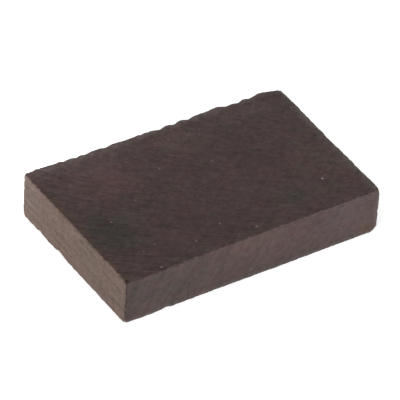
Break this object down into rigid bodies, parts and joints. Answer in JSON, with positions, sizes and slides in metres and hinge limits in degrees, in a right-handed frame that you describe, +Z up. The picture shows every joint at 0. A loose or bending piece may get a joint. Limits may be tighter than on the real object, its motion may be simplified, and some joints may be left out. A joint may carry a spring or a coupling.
{
  "type": "ebony blank",
  "caption": "Small sawn rectangular block of dark ebony wood, lying on one wide face, with crisp sawn faces, one rough edge, and chipped arrises and corners.",
  "frame": {"origin": "centre of the block's bounding box, at the height of the wide face that it lies on", "axes": "+X along the grain and the longest side, +Y across the width towards the rough-sawn edge, +Z up through the thickness"},
  "size_m": [0.0754, 0.0482, 0.013],
  "materials": {
    "ebony": "sawn, unfinished and matte, with fine saw marks and a few pale dust-filled pores"
  },
  "bodies": {
    "root": {"ebony_blank": "ebony"}
  },
  "joints": []
}
